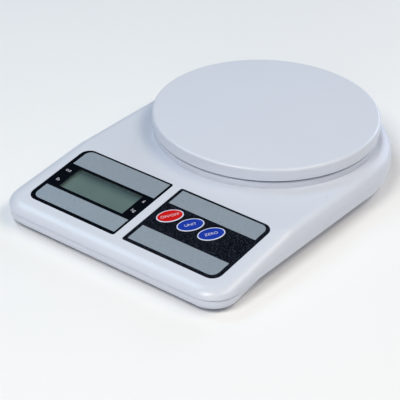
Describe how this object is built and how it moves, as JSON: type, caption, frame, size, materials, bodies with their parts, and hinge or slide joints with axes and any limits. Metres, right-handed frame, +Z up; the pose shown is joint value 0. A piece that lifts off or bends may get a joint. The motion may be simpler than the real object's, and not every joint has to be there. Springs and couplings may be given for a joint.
{
  "type": "digital kitchen scale",
  "caption": "Flat kitchen scale with a sloped control panel, liquid crystal display, push keys and a round platter on a load cell, powered by AA cells",
  "frame": {"origin": "on the floor, under the middle of the body's bounding box", "axes": "+X to the right as seen by the user at the panel, +Y from the panel to the back, +Z up"},
  "size_m": [0.1634, 0.231, 0.0366],
  "materials": {
    "cover_plastic": "fine satin, moulded",
    "platter_plastic": "fine satin, moulded",
    "key_red": "smooth",
    "key_blue": "smooth",
    "label_display": "printed film, glossy",
    "label_keypad": "printed film, fine grain",
    "clear_window": "clear",
    "display_glass": "reflective display, satin",
    "holder_plastic": "moulded",
    "contact_rubber": "layered elastomer",
    "board_laminate": "solder resist over glass laminate",
    "chip_resin": "poured resin",
    "part_case": "moulded",
    "switch_black": "moulded",
    "plunger_cream": "moulded",
    "zinc_screw": "zinc plated",
    "spacer_steel": "plated sheet",
    "bar_aluminium": "milled",
    "sealant": "cured sealant",
    "contact_nickel": "nickel plated spring steel",
    "cell_wrap": "printed sleeve",
    "cable_grey": "sheath",
    "wire_red": "sheath",
    "wire_black": "sheath",
    "foot_rubber": "moulded"
  },
  "bodies": {
    "housing": {"top_cover": "cover_plastic", "bottom_cover": "cover_plastic", "lower_spacer": "spacer_steel", "load_cell": "bar_aluminium", "gauge_sealant": "sealant", "fixed_end_screws": "zinc_screw", "display_label": "label_display", "keypad_label": "label_keypad", "display_window": "clear_window", "display_glass": "display_glass", "display_holder": "holder_plastic", "contact_strip": "contact_rubber", "main_board": "board_laminate", "chip_cap": "chip_resin", "board_parts": "part_case", "board_screws": "zinc_screw", "switch_bodies": "switch_black", "case_screws": "zinc_screw", "battery_front": "cell_wrap", "battery_back": "cell_wrap", "positive_contact": "contact_nickel", "negative_contact": "contact_nickel", "link_contact": "contact_nickel", "load_cell_cable": "cable_grey", "battery_wire_red": "wire_red", "battery_wire_black": "wire_black", "foot_front_left": "foot_rubber", "foot_front_right": "foot_rubber", "foot_back_left": "foot_rubber", "foot_back_right": "foot_rubber"},
    "platform": {"platter": "platter_plastic", "platform_carrier": "cover_plastic", "upper_spacer": "spacer_steel", "moving_end_screws": "zinc_screw"},
    "power_button": {"power_key": "key_red", "power_plunger": "plunger_cream"},
    "mode_button": {"mode_key": "key_blue", "mode_plunger": "plunger_cream"},
    "tare_button": {"tare_key": "key_blue", "tare_plunger": "plunger_cream"},
    "door": {"battery_door": "cover_plastic"}
  },
  "joints": [
    {"name": "platform_deflect", "type": "slide", "parent": "housing", "child": "platform", "axis": [0, 0, -1], "range_m": [0, 0.0005], "stiffness_N_per_m": 245000, "deforming": ["load_cell"]},
    {"name": "power_press", "type": "slide", "parent": "housing", "child": "power_button", "axis": [0, 0.1357, -0.9907], "range_m": [0, 0.0004], "stiffness_N_per_m": 4000},
    {"name": "mode_press", "type": "slide", "parent": "housing", "child": "mode_button", "axis": [0, 0.1357, -0.9907], "range_m": [0, 0.0004], "stiffness_N_per_m": 4000},
    {"name": "tare_press", "type": "slide", "parent": "housing", "child": "tare_button", "axis": [0, 0.1357, -0.9907], "range_m": [0, 0.0004], "stiffness_N_per_m": 4000},
    {"name": "door_swing", "type": "hinge", "parent": "housing", "child": "door", "pos_m": [0, 0.007, 0.0025], "axis": [1, 0, 0], "range_deg": [0, 75]}
  ]
}
